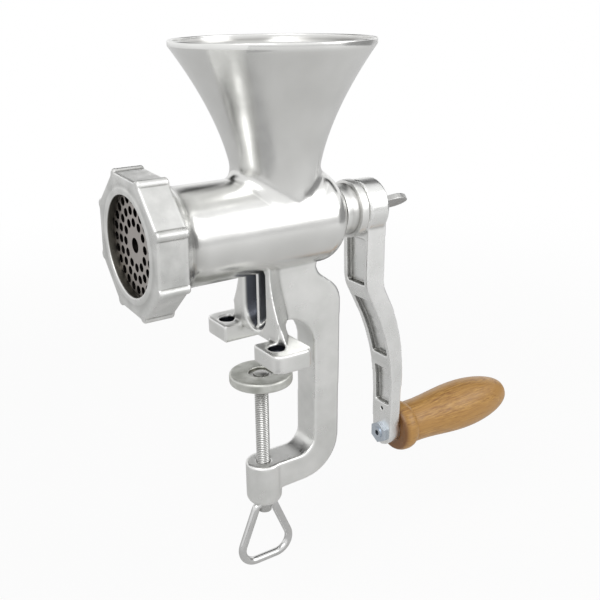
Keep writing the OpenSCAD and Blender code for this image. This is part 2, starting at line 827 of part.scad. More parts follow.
// The grip: a bead, a waist, a long swelling belly and a rounded end.
module grip() {
    waist_at = 17;
    belly_at = 62;
    tail = grip_len - belly_at;
    head_gap = 0.4;
    bead = [for (a = [0 : 15 : 180]) [6 - 6 * cos(a), bead_r - 3 + 3 * sin(a)]];
    swell = [for (i = [0 : 9]) [waist_at + (belly_at - waist_at) * i / 9,
        waist_r + (belly_r - waist_r) * (1 - cos(20 * i)) / 2]];
    end_r = spindle_head_r + 2 * head_gap;
    nose = [for (a = [7.5 : 7.5 : 90]) [belly_at + tail * sin(a), end_r + (belly_r - end_r) * pow(cos(a), 1.3)]];
    outline = concat([[0, 0], [0, bead_r - 3.4]], bead, swell, nose, [[grip_len, 0]]);
    color("burlywood")
        difference() {
            along_x([for (p = outline) [grip_x + p[0], p[1]]], grip_z);
            bar_x(grip_x - over, grip_end + over, spindle_r + run_gap, grip_z);
            bar_x(grip_end - spindle_head_depth - head_gap, grip_end + over, spindle_head_r + head_gap, grip_z);
        }
}

module pressure_disc() {
    color("silver")
        difference() {
            translate([0, 0, disc_low])
                rotate_extrude()
                    polygon([[0, 0], [disc_r - 2.2, 0], [disc_r - 0.7, 0.7], [disc_r, 2.2],
                        [disc_r, disc_t - 2.2], [disc_r - 0.7, disc_t - 0.7], [disc_r - 2.2, disc_t], [0, disc_t]]);
            translate([0, 0, disc_low - over])
                cylinder(h = disc_t + 2 * over, r = tip_r + run_gap);
            translate([0, 0, disc_top - disc_recess])
                cylinder(h = disc_recess + over, r = disc_recess_r);
        }
}

module disc_washer() {
    color("gray")
        translate([0, 0, disc_top - disc_recess])
            difference() {
                cylinder(h = disc_washer_t, r = disc_recess_r - slip_gap);
                translate([0, 0, -over])
                    cylinder(h = disc_washer_t + 2 * over, r = tip_r + run_gap);
            }
}

loop_bar_z = loop_top - wire_r;
screw_end = loop_bar_z - wire_r - 2;

module clamp_screw() {
    washer_top = disc_top - disc_recess + disc_washer_t + face_gap;
    color("silver")
        difference() {
            translate([0, 0, 0])
                rotate_extrude()
                    polygon([[0, screw_end], [screw_r - 1, screw_end], [screw_r, screw_end + 1],
                        [screw_r, disc_low - face_gap - 1], [screw_r - 1, disc_low - face_gap],
                        [tip_r, disc_low - face_gap], [tip_r, washer_top], [tip_r + 1.6, washer_top],
                        [tip_r + 1.4, washer_top + 0.8], [tip_r, washer_top + 1.3], [0, washer_top + 1.3]]);
            bar_x(-2 * screw_r, 2 * screw_r, wire_r + slip_gap, loop_bar_z);
        }
}

// One bend of the loop's wire, a hair slimmer than the wire so that its ends lie inside the straights.
module wire_bend(cx, cz, r, from, to) {
    lap = 0.6;
    translate([cx, 0, cz])
        rotate([90, 0, 0])
            rotate([0, 0, from - lap])
                rotate_extrude(angle = to - from + 2 * lap)
                    translate([r, 0])
                        circle(r = wire_r - 2 * eps, $fn = 24);
}

// The loop: a wire bent to a rounded triangle whose short top bar runs through the screw.
module loop_handle() {
    top_half = screw_r - 0.8;
    low_cx = loop_w / 2 - wire_r - loop_bend;
    low_cz = loop_top - loop_h + wire_r + loop_bend;
    top_cz = loop_bar_z - loop_top_bend;
    run = [low_cx - top_half, low_cz - top_cz];
    dist = norm(run);
    lean = atan2(run[0], -run[1]) + asin((loop_bend - loop_top_bend) / dist);
    side_len = sqrt(dist * dist - pow(loop_bend - loop_top_bend, 2));
    color("silver") {
        bar_x(-top_half, top_half, wire_r, loop_bar_z);
        bar_x(-low_cx, low_cx, wire_r, low_cz - loop_bend);
        for (turn = [0, 180])
            rotate([0, 0, turn]) {
                wire_bend(top_half, top_cz, loop_top_bend, lean, 90);
                wire_bend(low_cx, low_cz, loop_bend, -90, lean);
                translate([top_half + loop_top_bend * cos(lean), 0, top_cz + loop_top_bend * sin(lean)])
                    rotate([0, 180 - lean, 0])
                        cylinder(h = side_len, r = wire_r);
            }
    }
}

body_casting();
neck_bush();
plate_key();
cutting_plate();
ring_nut();
knife();
knife_stud();
feed_screw();
thrust_washer();
crank_arm();
thumb_screw();
grip_spindle();
spindle_nut();
grip_washer();
grip();
pressure_disc();
disc_washer();
clamp_screw();
loop_handle();
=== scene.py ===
# %% [markdown]
# # A hand mincer with a table clamp
# The real object is a set of aluminium castings, turned steel pieces and a wooden grip.
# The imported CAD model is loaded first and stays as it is: it says where each piece is.
# Every piece that shows is then either that model's own node with a better finish, or a finer
# surface built in the same place.

# %% Load the frame and keep its box
import math

import bmesh
import bpy
import numpy as np
from mathutils import Matrix, Vector


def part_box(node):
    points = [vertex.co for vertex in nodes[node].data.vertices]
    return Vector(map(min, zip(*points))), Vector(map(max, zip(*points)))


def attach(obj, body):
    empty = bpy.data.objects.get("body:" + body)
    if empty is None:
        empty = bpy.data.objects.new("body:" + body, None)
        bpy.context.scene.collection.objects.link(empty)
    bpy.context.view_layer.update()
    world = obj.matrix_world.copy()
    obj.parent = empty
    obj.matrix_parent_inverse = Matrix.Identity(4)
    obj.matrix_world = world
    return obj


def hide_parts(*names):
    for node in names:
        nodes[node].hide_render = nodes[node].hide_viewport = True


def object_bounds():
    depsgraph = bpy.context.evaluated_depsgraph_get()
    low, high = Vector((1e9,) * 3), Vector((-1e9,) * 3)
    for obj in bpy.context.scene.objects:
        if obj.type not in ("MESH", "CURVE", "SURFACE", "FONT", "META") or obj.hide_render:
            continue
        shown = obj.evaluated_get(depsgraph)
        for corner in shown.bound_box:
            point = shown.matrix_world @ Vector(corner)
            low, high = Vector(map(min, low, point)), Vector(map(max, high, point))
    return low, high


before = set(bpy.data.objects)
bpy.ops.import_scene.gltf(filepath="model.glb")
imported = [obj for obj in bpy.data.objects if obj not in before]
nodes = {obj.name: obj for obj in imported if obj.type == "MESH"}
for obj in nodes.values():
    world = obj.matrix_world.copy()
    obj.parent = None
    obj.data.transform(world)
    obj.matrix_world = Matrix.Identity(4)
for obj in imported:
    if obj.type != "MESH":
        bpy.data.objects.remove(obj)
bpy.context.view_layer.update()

# %% [markdown]
# Sizes are in millimetres, as on a drawing. They repeat the stations of the CAD model: x runs
# along the barrel from the outlet to the crank, and z = 0 is the table's upper face.

# %% Stations of the mincer
MM = 0.001
AXIS_Z = 75.0
BARREL_R = 27.6
BORE_R = 24.2
WALL_MID_R = 26.0
MOUTH_X = -72.0
MOUTH_R = 34.4
PLATE_SEAT_R = 31.1
RECESS_FLOOR = -61.4
REAR_X = 40.6
DOME_START = 36.575
DOME_LEN = 18.5
NECK_END = 67.6
NECK_R = 15.2
BUSH_SEAT_R = 12.1
COLLAR_R = 17.6
HOPPER_X = 13.5
THROAT_R = 24.0
RIM_R = 56.2
RIM_Z = 175.5
RIM_BAND = 3.0
HOPPER_WALL = 2.6
NUT_FRONT = -78.3
NUT_BACK = -60.4
NUT_OPENING_R = 27.0
THUMB_R = 3.9
CLAMP_SCREW_R = 4.3
CLAMP_PITCH = 2.5
DISC_TOP = -16.0
DISC_UNDER = -22.4
DISC_TRAVEL = 50.0

# %% [markdown]
# Most pieces are skins over a grid of points. One helper turns such a grid into a mesh, closes its
# seams and poles, turns its faces outwards and marks the edges that are sharp.

# %% Skin over a grid
def new_object(name, data):
    """An object of the data, untransformed, in the scene."""
    obj = bpy.data.objects.new(name, data)
    bpy.context.scene.collection.objects.link(obj)
    return obj


def tidy_mesh(mesh, sharp):
    """Merges points that meet, turns faces outwards, and shades smooth but for edges over sharp degrees."""
    work = bmesh.new()
    work.from_mesh(mesh)
    bmesh.ops.remove_doubles(work, verts=work.verts, dist=2e-6)
    bmesh.ops.dissolve_degenerate(work, edges=work.edges, dist=1e-7)
    bmesh.ops.recalc_face_normals(work, faces=work.faces)
    work.to_mesh(mesh)
    work.free()
    mesh.shade_smooth()
    mesh.set_sharp_from_angle(angle=math.radians(sharp))
    return mesh


def skin(name, points, wrap_along=False, sharp=35, keep=None):
    """Cell (i, j) joins points i and i+1 along and j and j+1 round; keep masks the cells that stay."""
    n, m = points.shape[:2]
    rows = np.arange(n if wrap_along else n - 1)
    i, j = np.meshgrid(rows, np.arange(m), indexing="ij")
    i2, j2 = (i + 1) % n, (j + 1) % m
    quads = np.stack([i * m + j, i2 * m + j, i2 * m + j2, i * m + j2], -1)
    if keep is not None:
        quads = quads[keep]
    mesh = bpy.data.meshes.new(name)
    mesh.from_pydata((points.reshape(-1, 3) * MM).tolist(), [], quads.reshape(-1, 4).tolist())
    return tidy_mesh(mesh, sharp)


def place(mesh, body, node, finish):
    """Makes the object of a mesh, lets it ride on its body and, where a node is named, stand for it."""
    obj = new_object(mesh.name, mesh)
    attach(obj, body)
    if node:
        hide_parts(node)
    mesh.materials.clear()
    mesh.materials.append(finish)
    print(mesh.name, "faces:", len(mesh.polygons))


def full_turn(steps):
    """Angles of a full turn in equal steps."""
    return np.linspace(0, 2 * np.pi, steps, endpoint=False)


def turned(profile, steps, centre=(0, 0, AXIS_Z), axis="x"):
    """Point(s, turn) = centre + along(s) on the axis + radius(s) * (cos turn, sin turn) across it."""
    along, radius = np.array(profile, float).T
    turn = full_turn(steps)
    a = np.repeat(along[:, None], steps, 1)
    u, v = radius[:, None] * np.cos(turn), radius[:, None] * np.sin(turn)
    out = np.stack([a, u, v] if axis == "x" else [u, v, a], -1)
    return out + np.array(centre, float)


def rounded(corners, radius, steps, closed=False):
    """Replaces each inner corner of a polyline by a quadratic curve between points radius away from it."""
    pts = [np.array(c, float) for c in corners]
    out = [] if closed else [pts[0]]
    ids = range(len(pts)) if closed else range(1, len(pts) - 1)
    for k in ids:
        before, at, after = pts[k - 1], pts[k], pts[(k + 1) % len(pts)]
        la, lb = np.linalg.norm(before - at), np.linalg.norm(after - at)
        r = min(radius, la * 0.45, lb * 0.45)
        a, b = at + (before - at) / la * r, at + (after - at) / lb * r
        t = np.linspace(0, 1, steps)[:, None]
        out.extend((1 - t) ** 2 * a + 2 * t * (1 - t) * at + t ** 2 * b)
    if not closed:
        out.append(pts[-1])
    return np.array(out)


# %% [markdown]
# Finishes are built from a few kinds of node. Effects that several finishes share are node groups:
# mottle gives a slow change over the surface, relief gives the small bumps of a casting or a
# tumbled piece, wear_and_shade finds the worn edges and the creases, where shade is painted.

# %% Shader helpers and shared groups
def feed(tree, slot, value):
    """Links a socket into a slot, or writes a plain value into it."""
    if isinstance(value, bpy.types.NodeSocket):
        tree.links.new(value, slot)
    else:
        slot.default_value = value


def calc(tree, operation, *values):
    """Result of a Math node on sockets or numbers."""
    node = tree.nodes.new("ShaderNodeMath")
    node.operation = operation
    for slot, value in zip(node.inputs, values):
        feed(tree, slot, value)
    return node.outputs[0]


def map_range(tree, source, start, end, low=0, high=1):
    """Runs from low to high while the source runs from start to end."""
    node = tree.nodes.new("ShaderNodeMapRange")
    labels = ("Value", "From Min", "From Max", "To Min", "To Max")
    for label, value in zip(labels, (source, start, end, low, high)):
        feed(tree, node.inputs[label], value)
    return node.outputs["Result"]


def noise(tree, vector, scale, detail, roughness=0.5):
    """Noise at a vector socket, about 0.3 to 0.7."""
    node = tree.nodes.new("ShaderNodeTexNoise")
    labels = ("Vector", "Scale", "Detail", "Roughness")
    for label, value in zip(labels, (vector, scale, detail, roughness)):
        feed(tree, node.inputs[label], value)
    return node.outputs["Fac"]


def x_part(tree, vector):
    """The x part of a vector socket."""
    split = tree.nodes.new("ShaderNodeSeparateXYZ")
    tree.links.new(vector, split.inputs[0])
    return split.outputs["X"]


def mixed(tree, factor, a, b):
    """A colour mix: factor is a socket, a and b are sockets or colours; 6, 7 and 2 are its colour slots."""
    node = tree.nodes.new("ShaderNodeMix")
    node.data_type = "RGBA"
    tree.links.new(factor, node.inputs["Factor"])
    for value, slot in ((a, node.inputs[6]), (b, node.inputs[7])):
        feed(tree, slot, value if isinstance(value, bpy.types.NodeSocket) else (*value, 1))
    return node.outputs[2]


def bumped(tree, height, depth):
    """Normal of a bump whose full height is depth in millimetres."""
    node = tree.nodes.new("ShaderNodeBump")
    node.inputs["Distance"].default_value = depth * MM
    tree.links.new(height, node.inputs["Height"])
    return node.outputs["Normal"]


def new_group(name, inputs, outputs):
    """A shader group with number inputs and outputs: its tree, what it is given and what it gives back."""
    group = bpy.data.node_groups.new(name, "ShaderNodeTree")
    for label, value in inputs:
        slot = group.interface.new_socket(label, in_out="INPUT", socket_type="NodeSocketFloat")
        slot.default_value = value
    for label in outputs:
        group.interface.new_socket(label, in_out="OUTPUT", socket_type="NodeSocketFloat")
    return group, group.nodes.new("NodeGroupInput").outputs, group.nodes.new("NodeGroupOutput").inputs


def make_mottle():
    """Noise on object coordinates, stretched to run from Low to High."""
    inputs = (("Scale", 40), ("Detail", 4), ("Low", 0), ("High", 1))
    tree, given, result = new_group("mottle", inputs, ("Value",))
    spot = tree.nodes.new("ShaderNodeTexCoord").outputs["Object"]
    spread = noise(tree, spot, given["Scale"], given["Detail"])
    tree.links.new(map_range(tree, spread, 0.32, 0.68, given["Low"], given["High"]), result["Value"])
    return tree


def make_relief():
    """Height = Grain * fine noise + Wave * slow noise."""
    tree, given, result = new_group("relief", (("Grain", 0.3), ("Wave", 0.7)), ("Height",))
    spot = tree.nodes.new("ShaderNodeTexCoord").outputs["Object"]
    fine = calc(tree, "MULTIPLY", noise(tree, spot, 1400, 3), given["Grain"])
    slow = calc(tree, "MULTIPLY", noise(tree, spot, 60, 1), given["Wave"])
    tree.links.new(calc(tree, "ADD", fine, slow), result["Height"])
    return tree


def make_wear_and_shade():
    """Edge and Crease: how far the mesh's pointiness lies above or below 0.5, as a share of Width; Crease
    marks where shade is painted.
    """
    tree, given, result = new_group("wear_and_shade", (("Width", 0.05),), ("Edge", "Crease"))
    pointiness = tree.nodes.new("ShaderNodeNewGeometry").outputs["Pointiness"]
    for label, sign in (("Edge", 1), ("Crease", -1)):
        beyond = calc(tree, "MULTIPLY_ADD", pointiness, sign, -0.5 * sign)
        share = calc(tree, "DIVIDE", beyond, given["Width"])
        share.node.use_clamp = True
        tree.links.new(share, result[label])
    return tree


MOTTLE, RELIEF, WEAR_AND_SHADE = make_mottle(), make_relief(), make_wear_and_shade()
print("groups:", [g.name for g in bpy.data.node_groups])

# %% [markdown]
# A metal finish mixes two close tones by the mottle, lets the roughness wander, brightens worn
# edges and paints shade into inner corners. Cavities that the light hardly reaches are marked on
# the mesh and take a dark colour of their own: painted shade.

# %% Metal finishes
# Painted shade: the colour of inner corners and creases.
CREASE_SHADE = (0.16, 0.155, 0.14)
EDGE_GAIN = 1.08
SATIN_ROUGH = 0.14
SATIN_LEN = 4.0


def group_node(tree, group, **values):
    """Outputs of a group node with its values set."""
    node = tree.nodes.new("ShaderNodeGroup")
    node.node_tree = group
    for label, value in values.items():
        node.inputs[label].default_value = value
    return node.outputs


def new_material(name):
    """A node material, its tree and its Principled shader."""
    mat = bpy.data.materials.new(name)
    mat.use_nodes = True
    return mat, mat.node_tree, mat.node_tree.nodes["Principled BSDF"]


def metal(name, light, dark, rough, tone_scale=45, grain=0.4, wave=0.3, depth=0.03, recess=None,
          satin_beyond=None):
    """Two tones by mottle, worn edges and painted shade in creases by wear_and_shade, roughness rough[0] to
    rough[1];
    recess: painted shade colour where the attribute of that name is 1; satin_beyond: x past which the metal
    is less polished."""
    mat, tree, shader = new_material(name)
    link = tree.links.new
    tone = group_node(tree, MOTTLE, Scale=tone_scale, Detail=5)["Value"]
    gloss = group_node(tree, MOTTLE, Scale=tone_scale * 2.3, Detail=3, Low=rough[0], High=rough[1])["Value"]
    edges = group_node(tree, WEAR_AND_SHADE)
    height = group_node(tree, RELIEF, Grain=grain, Wave=wave)["Height"]
    base = mixed(tree, tone, light, dark)
    worn = mixed(tree, edges["Edge"], base, [min(1, c * EDGE_GAIN) for c in light])
    # Painted shade in the creases.
    colour = mixed(tree, edges["Crease"], worn, CREASE_SHADE)
    # Painted shade, and on the frame a painted dark reflection, where the recess mask is set.
    if recess:
        mask = tree.nodes.new("ShaderNodeAttribute")
        mask.attribute_name = "recess"
        colour = mixed(tree, mask.outputs["Fac"], colour, recess)
    if satin_beyond:
        x = x_part(tree, tree.nodes.new("ShaderNodeTexCoord").outputs["Object"])
        rise = map_range(tree, x, satin_beyond * MM, (satin_beyond + SATIN_LEN) * MM, 0, SATIN_ROUGH)
        gloss = calc(tree, "ADD", rise, gloss)
    link(colour, shader.inputs["Base Color"])
    link(gloss, shader.inputs["Roughness"])
    link(bumped(tree, height, depth), shader.inputs["Normal"])
    shader.inputs["Metallic"].default_value = 1
    return mat


def dark_bores(mat, tone):
    """Takes the colour to tone where the object normal turns from x: painted shade inside the holes that run
    along x.
    """
    tree = mat.node_tree
    slot = tree.nodes["Principled BSDF"].inputs["Base Color"]
    before = slot.links[0].from_socket
    x = x_part(tree, tree.nodes.new("ShaderNodeTexCoord").outputs["Normal"])
    turned_away = map_range(tree, calc(tree, "ABSOLUTE", x), 0.3, 0.7, 1, 0)
    tree.links.new(mixed(tree, turned_away, before, tone), slot)


# Each recess colour below is painted shade; on the cast frame it is also a painted dark reflection.
POLISHED = metal("polished_casting", (0.83, 0.83, 0.815), (0.75, 0.75, 0.735), (0.19, 0.26),
                 grain=0.05, wave=0.95, depth=0.04, satin_beyond=50)
CAST = metal("cast_aluminium", (0.88, 0.88, 0.865), (0.74, 0.745, 0.725), (0.26, 0.4),
             wave=0.6, depth=0.06, recess=(0.075, 0.08, 0.095))
DISC_CAST = metal("disc_casting", (0.72, 0.725, 0.69), (0.42, 0.43, 0.39), (0.34, 0.5),
                  tone_scale=120, grain=0.7, wave=0.6, depth=0.12, recess=(0.22, 0.22, 0.19))
TUMBLED = metal("tumbled_aluminium", (0.84, 0.84, 0.825), (0.62, 0.625, 0.61), (0.26, 0.4),
                tone_scale=75, grain=0.6, wave=0.5, depth=0.09, recess=(0.12, 0.115, 0.10))
ARM_CAST = metal("arm_casting", (0.93, 0.93, 0.92), (0.82, 0.825, 0.81), (0.22, 0.34),
                 grain=0.3, wave=0.6, depth=0.05, recess=(0.3, 0.3, 0.29))
PLATE_STEEL = metal("plate_steel", (0.43, 0.40, 0.38), (0.27, 0.25, 0.235), (0.34, 0.5), grain=0.5)
STEEL = metal("turned_steel", (0.56, 0.56, 0.55), (0.45, 0.45, 0.44), (0.22, 0.36))
DARK_STEEL = metal("oiled_steel", (0.13, 0.125, 0.115), (0.09, 0.085, 0.08), (0.3, 0.45))
WIRE = metal("bent_wire", (0.74, 0.74, 0.735), (0.62, 0.62, 0.615), (0.12, 0.2), grain=0.15, wave=0.5)
ZINC = metal("zinc_plate", (0.55, 0.60, 0.66), (0.45, 0.49, 0.54), (0.25, 0.38), wave=0.4)
# Painted shade inside the cutting plate's holes.
dark_bores(PLATE_STEEL, (0.035, 0.03, 0.028))
METALS = (POLISHED, CAST, DISC_CAST, TUMBLED, ARM_CAST, PLATE_STEEL, STEEL, DARK_STEEL, WIRE, ZINC)
print("metal finishes:", [mat.name for mat in METALS])

# %% [markdown]
# The bush and the thrust washer are a pale nylon that has taken a little grey from the metal.

# %% Nylon
def plain_plastic(name, light, dark, rough):
    """A plastic whose colour and gloss wander slightly."""
    mat, tree, shader = new_material(name)
    tone = group_node(tree, MOTTLE, Scale=90, Detail=4)["Value"]
    gloss = group_node(tree, MOTTLE, Scale=240, Detail=2, Low=rough[0], High=rough[1])["Value"]
    tree.links.new(mixed(tree, tone, light, dark), shader.inputs["Base Color"])
    tree.links.new(gloss, shader.inputs["Roughness"])
    return mat


NYLON = plain_plastic("nylon", (0.78, 0.77, 0.72), (0.66, 0.65, 0.6), (0.35, 0.5))
print("finish:", NYLON.name)

# %% [markdown]
# The grip is turned from a fine-grained hardwood and varnished. Its grain runs along the grip, so
# the noise is squeezed along that direction; a slower noise gives the broader figure. The bead's
# face towards the arm is darker: end grain that has soaked up more varnish, and painted shade from the arm.

# %% Wood
def make_wood():
    """Streaks (noise squeezed along the grip) over a slow figure, end grain darkened by varnish and by
    painted shade, pores as dents.
    """
    mat, tree, shader = new_material("varnished_wood")
    link = tree.links.new
    coord = tree.nodes.new("ShaderNodeTexCoord")
    stretch = tree.nodes.new("ShaderNodeMapping")
    stretch.inputs["Scale"].default_value = (0.07, 1, 1)
    link(coord.outputs["Object"], stretch.inputs["Vector"])
    streaks = noise(tree, stretch.outputs["Vector"], 900, 6, 0.7)
    figure = noise(tree, stretch.outputs["Vector"], 160, 3)
    ramp = tree.nodes.new("ShaderNodeValToRGB")
    pores, wood = ramp.color_ramp.elements
    pores.position, pores.color = 0.36, (0.27, 0.115, 0.024, 1)
    wood.position, wood.color = 0.62, (0.58, 0.325, 0.086, 1)
    link(streaks, ramp.inputs["Fac"])
    tone = mixed(tree, map_range(tree, figure, 0.35, 0.65), ramp.outputs["Color"], (0.46, 0.24, 0.06))
    # End grain facing the arm: darker varnish and painted shade from the arm.
    end_grain_and_shade = map_range(tree, x_part(tree, coord.outputs["Normal"]), -0.2, -0.75, 0, 0.8)
    link(mixed(tree, end_grain_and_shade, tone, (0.13, 0.045, 0.012)), shader.inputs["Base Color"])
    link(bumped(tree, streaks, 0.08), shader.inputs["Normal"])
    gloss = group_node(tree, MOTTLE, Scale=200, Detail=2, Low=0.32, High=0.46)["Value"]
    link(gloss, shader.inputs["Roughness"])
    shader.inputs["Coat Weight"].default_value = 0.25
    shader.inputs["Coat Roughness"].default_value = 0.25
    return mat


WOOD = make_wood()
print("finish:", WOOD.name)

# %% [markdown]
# The hopper is a trumpet that grows out of the barrel. Its skin is one grid: round the hopper's
# axis, and from the root on the barrel up the flare, over the rim and down the inside to the
# bore. The root is wide along the barrel and narrow on its flanks, where a crease remains.

# %% Hopper
FLARE_FOOT = AXIS_Z + 0.72 * BARREL_R
FLARE_TOP = RIM_Z - RIM_BAND
ROOT_LEAST = 1.6
ROOT_SWELL = 5.4
ROOT_RISE = 1.8
ROOT_BURY = 1.2


def barrel_radius(x):
    """The barrel's outer radius: constant, then an ellipse over the rear dome."""
    t = np.clip((x - DOME_START) / DOME_LEN, 0, 1)
    return BARREL_R * np.sqrt(1 - t ** 2)


def crown(x, y):
    """Height of the barrel's top surface above a point of the plan."""
    return AXIS_Z + np.sqrt(np.maximum(barrel_radius(x) ** 2 - y ** 2, 1))


def flare(z):
    """Radius of the trumpet: throat + (rim - throat) * share of the height to the power 1.7."""
    t = np.clip((z - FLARE_FOOT) / (FLARE_TOP - FLARE_FOOT), 0, 1)
    return THROAT_R + (RIM_R - THROAT_R) * t ** 1.7


def hopper_points(steps=240):
    """Rows up the outside, over the rim and down the inside. The root is a cubic curve (out, rise) that
    leaves the barrel's crown along its surface and ends upright in the flare."""
    c, s = np.cos(full_turn(steps)), np.sin(full_turn(steps))

    def ring(r, z):
        """Points round the hopper's axis; radius and height are numbers or change with the turn."""
        return np.stack([HOPPER_X + r * c, r * s, z + 0 * c], -1)

    width = ROOT_LEAST + ROOT_SWELL * np.abs(c)
    rows = []
    for u in np.linspace(0, 1, 20):
        out = width * (1 - u) ** 2 * (1 - u + 0.75 * u)
        rise = ROOT_RISE * width * u ** 2 * (1.35 * (1 - u) + u)
        r = THROAT_R + out
        for _ in range(4):
            z = crown(HOPPER_X + r * c, r * s) + rise
            r = flare(z) + out
        rows.append(ring(r, z))
    rows.insert(0, rows[0] - [0, 0, ROOT_BURY])
    low = rows[-1][:, 2]
    for t in np.linspace(0.02, 1, 44):
        z = low + (FLARE_TOP - low) * t
        rows.append(ring(flare(z), z))
    inner_rim = RIM_R - HOPPER_WALL
    rim = rounded([(RIM_R, FLARE_TOP), (RIM_R, RIM_Z), (inner_rim, RIM_Z), (inner_rim, FLARE_TOP)], 0.7, 5)
    rows += [ring(r, z) for r, z in rim[1:-1]]
    bore_z = AXIS_Z + np.sqrt(BORE_R ** 2 - ((THROAT_R - HOPPER_WALL) * s) ** 2)
    for t in np.linspace(1, 0, 40):
        z = bore_z + (FLARE_TOP - bore_z) * t
        rows.append(ring(flare(z) - HOPPER_WALL, z))
    rows.append(ring(THROAT_R - 0.8, AXIS_Z + np.sqrt(np.maximum(WALL_MID_R ** 2 - (THROAT_R * s) ** 2, 30))))
    return np.array(rows)


place(skin("hopper", hopper_points(), wrap_along=True), "root", None, POLISHED)

# %% [markdown]
# The barrel is turned about its axis: mouth with its thread, plain middle, rounded rear end, neck
# and collar, then back along the bore. The cells under the hopper are left out, so that one looks
# down onto the feed screw; the edge of that hole lies inside the hopper's wall.

# %% Barrel
MOUTH_RISE = 3.0
MOUTH_DEPTH = 0.9


def barrel_points(steps=240):
    """Radius(s, turn) of a closed profile, less MOUTH_DEPTH * triangle wave of (x / MOUTH_RISE - turn / 360)
    on the mouth."""
    lip = [(0, PLATE_SEAT_R + 0.3), (0, MOUTH_R - 1.6), (0.3, MOUTH_R - 1)]
    thread = [(1.2 + MOUTH_RISE / 8 * k, MOUTH_R) for k in range(31)]
    step_down = [(13.2, MOUTH_R - 0.9), (15, MOUTH_R - 1.8), (17, MOUTH_R - 4), (19, BARREL_R + 1.2),
                 (21.5, BARREL_R + 0.5), (24, BARREL_R + 0.1)]
    mouth = [(MOUTH_X + a, r) for a, r in lip + thread + step_down]
    body = [(x, BARREL_R) for x in np.linspace(MOUTH_X + 27, DOME_START - 1, 64)]
    arc = np.linspace(0, math.radians(60), 12)
    dome = [(DOME_START + DOME_LEN * math.sin(a), BARREL_R * math.cos(a)) for a in arc]
    dome_end = DOME_START + DOME_LEN
    dome += [(dome_end - 0.1 * DOME_LEN, BARREL_R * 0.44 + 3.6), (dome_end, NECK_R + 0.5),
             (dome_end + 2, NECK_R)]
    collar = rounded([(NECK_END - 8, NECK_R), (NECK_END - 5.6, NECK_R), (NECK_END - 5, COLLAR_R),
                      (NECK_END, COLLAR_R), (NECK_END, BUSH_SEAT_R)], 0.5, 4)
    bore = [(x, BORE_R) for x in np.linspace(REAR_X - 1, RECESS_FLOOR, 64)]
    inside = [(REAR_X, BUSH_SEAT_R), (REAR_X, BORE_R), *bore, (RECESS_FLOOR, PLATE_SEAT_R),
              (MOUTH_X, PLATE_SEAT_R)]
    profile = np.array([*mouth, *body, *dome, *collar, *inside], float)
    points = turned(profile, steps)
    turn = full_turn(steps)
    rows = slice(len(lip), len(lip) + len(thread))
    phase = profile[rows, 0][:, None] / MOUTH_RISE - turn / (2 * np.pi)
    cut = MOUTH_DEPTH * np.clip(np.abs(2 * (phase % 1) - 1) * 1.6 - 0.3, 0, 1)
    points[rows] -= cut[..., None] * np.stack([0 * turn, np.cos(turn), np.sin(turn)], -1)
    return points


barrel_grid = barrel_points()
next_row = np.roll(barrel_grid, -1, 0)
cell_middle = (barrel_grid + next_row + np.roll(barrel_grid, -1, 1) + np.roll(next_row, -1, 1)) / 4
from_hopper = np.hypot(cell_middle[..., 0] - HOPPER_X, cell_middle[..., 1])
under_hopper = (from_hopper < THROAT_R - 1.4) & (cell_middle[..., 2] > AXIS_Z)
place(skin("barrel", barrel_grid, wrap_along=True, keep=~under_hopper), "root", None, POLISHED)

# %% [markdown]
# Leg, pads, clamp frame and boss are left as cast. Copying the CAD solid and remeshing it gives
# the soft edges and small fillets of a sand casting. Only what hangs below the barrel is kept:
# points that end inside the barrel's wall are drawn into it, so that the two skins do not fight.

# %% Leg, foot and clamp frame
CUT_R = 27.0
DRAWN_FROM = 28.6
PAD_HOLE = (-6.0, 28.5)


def block(low, high):
    """A closed box between two corners, as a tool for a Boolean cut."""
    lo, hi = np.array(low, float) * MM, np.array(high, float) * MM
    mesh = bpy.data.meshes.new("cut")
    work = bmesh.new()
    bmesh.ops.create_cube(work, size=1)
    for vert in work.verts:
        vert.co = Vector([lo[k] + (hi[k] - lo[k]) * (vert.co[k] + 0.5) for k in range(3)])
    work.to_mesh(mesh)
    work.free()
    return new_object("cut", mesh)


def softened(name, node, voxel, rounds, cuts=()):
    """Copy of a CAD node: merged, cut, remeshed in voxels and smoothed, which rounds its edges."""
    mesh = nodes[node].data.copy()
    work = bmesh.new()
    work.from_mesh(mesh)
    bmesh.ops.remove_doubles(work, verts=work.verts, dist=2e-6)
    work.to_mesh(mesh)
    work.free()
    mesh.materials.clear()
    obj = new_object(name, mesh)
    for kind, tool in cuts:
        cut = obj.modifiers.new("cut", "BOOLEAN")
        cut.operation, cut.object, cut.solver = kind, tool, "EXACT"
    remesh = obj.modifiers.new("remesh", "REMESH")
    remesh.mode, remesh.voxel_size = "VOXEL", voxel * MM
    smooth = obj.modifiers.new("smooth", "SMOOTH")
    smooth.factor, smooth.iterations = 0.5, rounds
    made = bpy.data.meshes.new_from_object(obj.evaluated_get(bpy.context.evaluated_depsgraph_get()))
    made.name = name
    for old in [obj] + [tool for _, tool in cuts]:
        bpy.data.objects.remove(old)
    made.shade_smooth()
    return made


def points_of(mesh):
    """The mesh's points in millimetres as an array."""
    flat = np.empty(len(mesh.vertices) * 3)
    mesh.vertices.foreach_get("co", flat)
    return flat.reshape(-1, 3) / MM


def normals_of(mesh):
    """The mesh's point normals as an array."""
    flat = np.empty(len(mesh.vertices) * 3, np.float32)
    mesh.vertex_normals.foreach_get("vector", flat)
    return flat.reshape(-1, 3)


def write_mask(mesh, values):
    """Stores one number per point, 0 to 1, under the name recess."""
    layer = mesh.attributes.new("recess", "FLOAT", "POINT")
    layer.data.foreach_set("value", np.clip(values, 0, 1).astype(np.float32))


def step_up(values, start, length):
    """0 before start, 1 from start + length on, a straight line between."""
    return np.clip((values - start) / length, 0, 1)


